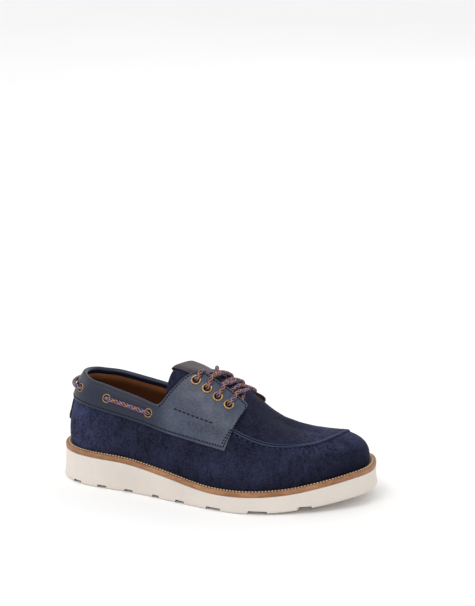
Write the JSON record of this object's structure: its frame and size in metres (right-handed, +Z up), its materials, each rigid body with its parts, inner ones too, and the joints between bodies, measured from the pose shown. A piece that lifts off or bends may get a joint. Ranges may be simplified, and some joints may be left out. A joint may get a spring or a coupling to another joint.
{
  "type": "boat shoe",
  "caption": "Low moccasin-style boat shoe for the right foot: suede upper, leather saddle with laced collar and facings, leather welt and pale wedge outsole.",
  "frame": {"origin": "on the floor, in the middle of the shoe's box seen from above", "axes": "+X from heel to toe, +Y towards the inner (medial) side of the foot, +Z up"},
  "size_m": [0.302, 0.1224, 0.1209],
  "materials": {
    "sole": "matt off-white foamed rubber",
    "welt": "tan leather with a pale stitch",
    "insole": "smooth tan leather",
    "suede": "dark blue suede",
    "saddle": "smooth slate-blue leather, satin",
    "label": "smooth grey-brown leather",
    "eyelets": "aged brass",
    "lace": "round braid in lilac, orange-brown and dark brown"
  },
  "bodies": {
    "root": {"outsole": "sole", "welt": "welt", "insole": "insole", "upper": "suede", "saddle": "saddle", "tongue": "suede", "tongue_label": "label", "facing_eyelet_lateral_1": "eyelets", "facing_eyelet_lateral_2": "eyelets", "facing_eyelet_lateral_3": "eyelets", "facing_eyelet_lateral_4": "eyelets", "facing_eyelet_medial_1": "eyelets", "facing_eyelet_medial_2": "eyelets", "facing_eyelet_medial_3": "eyelets", "facing_eyelet_medial_4": "eyelets", "collar_eyelet_lateral_front": "eyelets", "collar_eyelet_lateral_middle": "eyelets", "collar_eyelet_lateral_rear": "eyelets", "collar_eyelet_medial_front": "eyelets", "collar_eyelet_medial_middle": "eyelets", "collar_eyelet_medial_rear": "eyelets", "lace_crossing_1": "lace", "lace_crossing_2": "lace", "lace_crossing_3": "lace", "lace_bar": "lace", "lace_end_lateral": "lace", "lace_end_medial": "lace", "collar_lace_lateral": "lace", "collar_lace_medial": "lace", "collar_lace_heel": "lace"}
  },
  "joints": []
}
